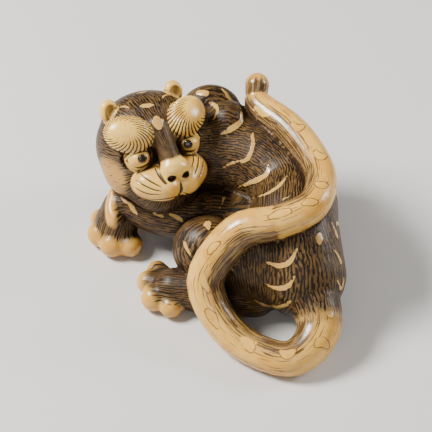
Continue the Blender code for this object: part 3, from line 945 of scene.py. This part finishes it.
def strands(p, normals, tail):
    """Where the tail's dark strands lie: on its inner and lower sides."""
    place = path_frame(p, PATHS["tail"], 1.0)[:, 0]
    inner = np.where((place < LOOP_LENGTH)[:, None], np.array(LOWER_LOOP_MIDDLE), np.array(UPPER_LOOP_MIDDLE))
    towards = inner - p
    towards /= np.maximum(np.linalg.norm(towards, axis=1, keepdims=True), 1e-6)
    return tail * smoothstep(-0.70, 0.10, (normals * towards).sum(1))


def tiger_piece(ivory, shift):
    points, quads, others = skin()
    normals, _ = outward(points)
    q = head_local(points)
    line_depth, line_dark = face_lines(points)
    fluting = flutes(q)
    parts = regions(points)
    fur, gold, tail = stain(points, parts)
    nostrils = [ellipsoid(q, on_side(NOSTRIL[0], side), NOSTRIL[1]) for side in (-1, 1)]
    nose_dark = smoothstep(0.3, 0.0, np.minimum(*nostrils))
    body_marks = marks_distance(points, [*photo_marks(BODY_MARKS), *far_marks(FAR_MARKS)])
    head_marks = marks_distance(points, photo_marks(HEAD_MARKS))
    tail_marks = marks_distance(points, photo_marks(TAIL_MARKS))
    on_head = parts["head"] < np.minimum(parts["torso"], parts["near fore"])
    marks = np.where(on_head, head_marks, body_marks)
    marks = np.where(tail > 0.5, tail_marks, marks)
    raised = MARK_PROUD * smoothstep(0.15, -0.05, marks) * fur
    hollow = hollows(points, normals)
    moved = points + normals * (raised - line_depth - FLUTE_DEPTH * fluting - pockets(q))[:, None]
    moved[:, 2] = np.maximum(moved[:, 2], 0.0)

    mesh = bpy.data.meshes.new("tiger_carving")
    mesh.from_pydata((moved * SHARE + shift).tolist(), [], [*quads.tolist(), *others])
    mesh.shade_smooth()
    for name, values in (
        ("fur", fur),
        ("gold", gold),
        ("tail", tail),
        ("strands", strands(points, normals, tail)),
        ("mark", marks),
        ("hollow", hollow),
        ("line", np.maximum.reduce([line_dark, fluting, nose_dark])),
    ):
        attribute = mesh.attributes.new(name, "FLOAT", "POINT")
        attribute.data.foreach_set("value", values.astype(np.float32))
    lay_hair(mesh, points, quads, others, parts)
    mesh.materials.append(ivory)
    piece = bpy.data.objects.new("tiger_carving", mesh)
    bpy.context.scene.collection.objects.link(piece)
    return piece


def lay_hair(mesh, points, quads, others, parts):
    """Gives each face's corners the hair direction of the part that the face belongs to."""
    frames = hair_frames(points)
    owner = np.argmin(np.stack([parts[name] for name in frames], 1), 1)
    table = np.stack([frame for frame, _ in frames.values()])
    rows = np.array([count for _, count in frames.values()], np.float32)
    face_owner = [owner[quads[:, 0]], np.array([owner[face[0]] for face in others], int)]
    sizes = np.concatenate([np.full(len(quads), 4), [len(face) for face in others]])
    corners = np.concatenate([quads.ravel(), *others]).astype(int)
    region = np.repeat(np.concatenate(face_owner), sizes.astype(int))
    attribute = mesh.attributes.new("hair", "FLOAT_VECTOR", "CORNER")
    attribute.data.foreach_set("vector", table[region, corners].astype(np.float32).ravel())
    attribute = mesh.attributes.new("rows", "FLOAT", "CORNER")
    attribute.data.foreach_set("value", rows[region])


# Materials


class Graph:
    """A material's nodes, added and linked in reading order."""

    def __init__(self, name):
        self.material = bpy.data.materials.new(name)
        self.material.use_nodes = True
        self.tree = self.material.node_tree
        self.shader = self.tree.nodes["Principled BSDF"]

    def node(self, kind, inputs=None, **settings):
        node = self.tree.nodes.new(kind)
        for key, value in settings.items():
            setattr(node, key, value)
        for key, value in (inputs or {}).items():
            if isinstance(value, bpy.types.NodeSocket):
                self.tree.links.new(value, node.inputs[key])
            else:
                node.inputs[key].default_value = value
        return node

    def attribute(self, name):
        return self.node("ShaderNodeAttribute", attribute_name=name)

    def value(self, name):
        return self.attribute(name).outputs["Fac"]

    def math(self, operation, a, b=0.0, clamp=False):
        return self.node("ShaderNodeMath", {0: a, 1: b}, operation=operation, use_clamp=clamp).outputs[0]

    def ramp(self, value, low, high):
        """0 at low and 1 at high, smoothly; the other way round if low is the larger."""
        node = self.node(
            "ShaderNodeMapRange",
            {"Value": value, "From Min": low, "From Max": high, "To Min": 0.0, "To Max": 1.0},
            interpolation_type="SMOOTHSTEP",
        )
        return node.outputs[0]

    def mix(self, factor, a, b):
        return self.node("ShaderNodeMix", {0: factor, 6: a, 7: b}, data_type="RGBA").outputs[2]

    def mix_value(self, factor, a, b):
        return self.node("ShaderNodeMix", {0: factor, 2: a, 3: b}, data_type="FLOAT").outputs[0]

    def noise(self, vector, scale, detail=2.0, roughness=0.5):
        node = self.node(
            "ShaderNodeTexNoise",
            {"Vector": vector, "Scale": scale, "Detail": detail, "Roughness": roughness},
        )
        return node.outputs["Fac"]

    def stretched(self, vector, along, across):
        scale = (along, across, across)
        return self.node("ShaderNodeVectorMath", {0: vector, 1: scale}, operation="MULTIPLY").outputs[0]

    def link(self, socket, name):
        self.tree.links.new(socket, self.shader.inputs[name])


CREAM = (0.80, 0.50, 0.11, 1.0)
GOLD = (0.58, 0.27, 0.034, 1.0)
TAN = (0.36, 0.21, 0.065, 1.0)
WORN_FUR = (0.150, 0.082, 0.024, 1.0)
RICH_FUR = (0.068, 0.033, 0.009, 1.0)
DEEP_FUR = (0.012, 0.006, 0.002, 1.0)
LINE_BROWN = (0.030, 0.013, 0.005, 1.0)
# Brown for the hollows: patina in the crevices, and painted shade where the body shades itself
HOLLOW_PATINA_AND_SHADE = (0.020, 0.009, 0.004, 1.0)
TAIL_BROWN = (0.060, 0.028, 0.010, 1.0)
TAIL_GROUND = (0.24, 0.145, 0.050, 1.0)


def ivory_material():
    g = Graph("carved ivory")
    hair = g.attribute("hair").outputs["Vector"]
    fur = g.value("fur")
    tail = g.value("tail")
    place = g.node("ShaderNodeTexCoord").outputs["Object"]
    clouds = g.noise(place, 260.0, 3.0, 0.55)
    mottle = g.noise(place, 1100.0, 2.0, 0.6)
    ragged = g.math("MULTIPLY", g.math("SUBTRACT", mottle, 0.5), 0.5)
    mark = g.math("ADD", g.value("mark"), ragged)

    # Bare ivory, warmer where it is handled less
    warm = g.math("ADD", g.value("gold"), g.ramp(clouds, 0.42, 0.72), clamp=True)
    bare = g.mix(g.math("MULTIPLY", warm, 0.8), CREAM, GOLD)
    bare = g.mix(g.math("MULTIPLY", g.ramp(mottle, 0.55, 0.8), 0.35), bare, TAN)

    # Pale marks, left smooth
    inside = g.ramp(mark, 0.03, -0.05)
    stained = g.math("MULTIPLY", fur, g.math("SUBTRACT", 1.0, inside), clamp=True)
    pale = g.mix(g.math("MULTIPLY", fur, 0.6), bare, TAN)

    # Fine hair: rows of dark cuts between worn ridges, sparser where the stain thins out
    parts = g.node("ShaderNodeSeparateXYZ", {0: hair}).outputs
    turn = g.math("ARCTAN2", parts[2], parts[1])
    wobble = g.noise(g.stretched(hair, 0.35, 0.6), 1.0, 1.0, 0.5)
    phase = g.math("ADD", g.math("MULTIPLY", turn, g.value("rows")), g.math("MULTIPLY", wobble, 14.0))
    row = g.math("MULTIPLY", g.math("SINE", phase), 0.30)
    strokes = g.noise(g.stretched(hair, 0.75, 5.0), 1.0, 1.0, 0.6)
    stroke = g.math("MULTIPLY", g.math("SUBTRACT", strokes, 0.5), 2.4)
    sparse = g.math("MULTIPLY", g.math("SUBTRACT", 1.0, fur), 0.75)
    cuts = g.ramp(g.math("ADD", g.math("ADD", row, stroke), sparse), 0.16, -0.14)
    furry = g.math("MULTIPLY", g.ramp(fur, 0.02, 0.25), g.math("SUBTRACT", 1.0, inside))
    cuts = g.math("MULTIPLY", cuts, furry)
    depth = g.ramp(g.mix_value(0.4, clouds, mottle), 0.35, 0.65)
    ridge = g.mix(depth, WORN_FUR, RICH_FUR)
    colour = g.mix(stained, pale, ridge)
    colour = g.mix(cuts, colour, DEEP_FUR)
    edge = g.math("MULTIPLY", g.ramp(mark, -0.05, 0.02), g.ramp(mark, 0.16, 0.05))
    colour = g.mix(g.math("MULTIPLY", edge, g.math("MULTIPLY", fur, 0.7)), colour, DEEP_FUR)

    # The tail's strands on its darker side, and the thin outlines of its spots
    outside = g.ramp(mark, 0.0, 0.12)
    weight = g.math("MULTIPLY", g.value("strands"), outside)
    lines = g.mix_value(
        0.4,
        g.noise(g.stretched(hair, 0.20, 4.5), 1.0, 1.0, 0.5),
        g.noise(g.stretched(hair, 0.35, 8.0), 1.0, 0.0, 0.5),
    )
    threshold = g.math("SUBTRACT", 0.64, g.math("MULTIPLY", weight, 0.17))
    over = g.math("SUBTRACT", lines, threshold)
    strand = g.math("MULTIPLY", g.ramp(over, -0.01, 0.02), g.math("MULTIPLY", outside, tail))
    ring = g.math("MULTIPLY", g.ramp(mark, -0.10, -0.03), g.ramp(mark, 0.15, 0.06))
    ring = g.math("MULTIPLY", g.math("MULTIPLY", ring, tail), g.ramp(clouds, 0.30, 0.48))
    colour = g.mix(g.math("MULTIPLY", g.math("MULTIPLY", weight, weight), 0.8), colour, TAIL_GROUND)
    colour = g.mix(g.math("MULTIPLY", strand, 0.9), colour, TAIL_BROWN)
    colour = g.mix(g.math("MULTIPLY", ring, 0.8), colour, TAIL_BROWN)

    # Patina and painted shade in the hollows, and stain in the cut lines
    hollow = g.ramp(g.value("hollow"), 0.26, 0.66)
    colour = g.mix(g.math("MULTIPLY", hollow, 0.94), colour, HOLLOW_PATINA_AND_SHADE)
    line = g.ramp(g.value("line"), 0.15, 0.6)
    colour = g.mix(g.math("MULTIPLY", line, 0.95), colour, LINE_BROWN)
    g.link(colour, "Base Color")

    roughness = g.mix_value(hollow, g.mix_value(stained, 0.25, 0.40), 0.85)
    g.link(roughness, "Roughness")
    g.link(g.mix_value(hollow, g.mix_value(stained, 0.5, 0.24), 0.1), "Specular IOR Level")
    height = g.math("SUBTRACT", g.math("MULTIPLY", mottle, 0.12), cuts)
    height = g.math("SUBTRACT", height, g.math("MULTIPLY", strand, 0.8))
    bump = g.node("ShaderNodeBump", {"Height": height, "Strength": 0.7, "Distance": 0.00006})
    g.link(bump.outputs["Normal"], "Normal")
    for key, value in (("Subsurface Weight", 0.12), ("Subsurface Scale", 0.0006), ("IOR", 1.54)):
        g.shader.inputs[key].default_value = value
    g.shader.inputs["Subsurface Radius"].default_value = (1.0, 0.55, 0.3)
    return g.material


def horn_material():
    g = Graph("dark horn")
    place = g.node("ShaderNodeTexCoord").outputs["Object"]
    grain = g.noise(place, 2500.0, 3.0, 0.6)
    g.link(g.mix(grain, (0.006, 0.004, 0.004, 1.0), (0.03, 0.017, 0.01, 1.0)), "Base Color")
    g.shader.inputs["Roughness"].default_value = 0.08
    g.shader.inputs["IOR"].default_value = 1.56
    return g.material


# Pupils


def plug_outline(side):
    """The plug's profile as (radius, height) rows, and its frame: front of the eyeball, Z along the gaze."""
    gaze = gaze_of(side)
    front = on_side(EYEBALL_CENTRE, side) + gaze * EYEBALL_RADII[2]
    radius = 0.5 * PUPIL_DIAMETER
    rows = [
        (radius * math.sin(a), PUPIL_PROUD - PUPIL_DOME * (1.0 - math.cos(a)))
        for a in np.linspace(0.0, 0.5 * math.pi, 9)
    ]
    rows.append((radius, PUPIL_PROUD - PUPIL_LENGTH))
    return rows, head_world(front), facing_axes(gaze) @ HEAD_AXES


def plug_points(side, sides):
    rows, front, axes = plug_outline(side)
    turns = np.arange(sides) * math.tau / sides
    rings = [
        front + (np.stack([r * np.cos(turns), r * np.sin(turns), np.full(sides, h)], 1) / SHARE) @ axes
        for r, h in rows[1:]
    ]
    top = front + np.array([0.0, 0.0, rows[0][1] / SHARE]) @ axes
    return top, rings


def frame_shift():
    """How far the solids stand from these forms' own origin, in metres."""
    found = []
    for name, side in (("left_pupil", 1), ("right_pupil", -1)):
        top, rings = plug_points(side, PLUG_SIDES)
        cloud = np.vstack([top, *rings]) * SHARE
        low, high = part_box(name)
        found.append((np.array(low) + np.array(high) - cloud.min(0) - cloud.max(0)) / 2)
    shift = np.mean(found, 0)
    shift[2] = 0.0
    return shift


def pupil_piece(name, node, side, horn, shift):
    top, rings = plug_points(side, INLAY_SIDES)
    count = INLAY_SIDES
    faces = [(0, 1 + i, 1 + (i + 1) % count) for i in range(count)]
    for ring in range(len(rings) - 1):
        start = 1 + ring * count
        for i in range(count):
            j = (i + 1) % count
            faces.append((start + i, start + count + i, start + count + j, start + j))
    last = 1 + (len(rings) - 1) * count
    faces.append(tuple(last + i for i in reversed(range(count))))
    mesh = bpy.data.meshes.new(name)
    mesh.from_pydata((np.vstack([top, *rings]) * SHARE + shift).tolist(), [], faces)
    mesh.shade_smooth()
    mesh.set_sharp_from_angle(angle=math.radians(40))
    mesh.materials.append(horn)
    piece = bpy.data.objects.new(name, mesh)
    bpy.context.scene.collection.objects.link(piece)
    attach(piece, "root")
    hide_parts(node)


# Stage


def floor_piece():
    bpy.ops.mesh.primitive_plane_add(size=FLOOR_SIZE, location=(0.0, 0.0, 0.0))
    floor = bpy.context.object
    floor.name = "floor"
    g = Graph("pale floor")
    g.shader.inputs["Base Color"].default_value = (0.62, 0.61, 0.60, 1.0)
    g.shader.inputs["Roughness"].default_value = 0.75
    floor.data.materials.append(g.material)


def area_light(name, place, target, size, watts, colour=(1.0, 1.0, 1.0)):
    data = bpy.data.lights.new(name, "AREA")
    data.shape = "RECTANGLE"
    data.size, data.size_y = size
    data.energy = watts
    data.color = colour
    light = bpy.data.objects.new(name, data)
    bpy.context.scene.collection.objects.link(light)
    light.location = place
    light.rotation_euler = (Vector(target) - Vector(place)).to_track_quat("-Z", "Y").to_euler()


def lights():
    centre = (0.0, 0.0, 0.01)
    area_light("key", (-0.22, 0.02, 0.26), centre, (0.11, 0.11), 2.9, (1.0, 0.97, 0.92))
    area_light("side", (0.26, 0.06, 0.14), centre, (0.08, 0.14), 0.7, (1.0, 0.97, 0.94))
    area_light("front", (-0.02, -0.34, 0.22), centre, (0.30, 0.20), 0.35)
    world = bpy.data.worlds.new("studio")
    bpy.context.scene.world = world
    world.use_nodes = True
    world.node_tree.nodes["Background"].inputs["Color"].default_value = (0.80, 0.79, 0.77, 1.0)
    world.node_tree.nodes["Background"].inputs["Strength"].default_value = 0.25


def photo_camera(shift):
    data = bpy.data.cameras.new("camera")
    data.sensor_width = SENSOR_MM
    data.lens = FOCAL_PIXELS / FRAME_SIZE * SENSOR_MM
    data.clip_start, data.clip_end = 0.01, 10.0
    eye, rays = pixel_rays(np.array([[FRAME_SIZE / 2, FRAME_SIZE / 2]]))
    camera = bpy.data.objects.new("camera", data)
    bpy.context.scene.collection.objects.link(camera)
    camera.location = eye * SHARE + shift
    camera.rotation_euler = Vector(rays[0]).to_track_quat("-Z", "Y").to_euler()
    bpy.context.scene.camera = camera


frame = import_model()
shift = frame_shift()
carving = tiger_piece(ivory_material(), shift)
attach(carving, "root")
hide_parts("tiger")
horn = horn_material()
pupil_piece("left_pupil_inlay", "left_pupil", 1, horn, shift)
pupil_piece("right_pupil_inlay", "right_pupil", -1, horn, shift)
floor_piece()
lights()
photo_camera(shift)
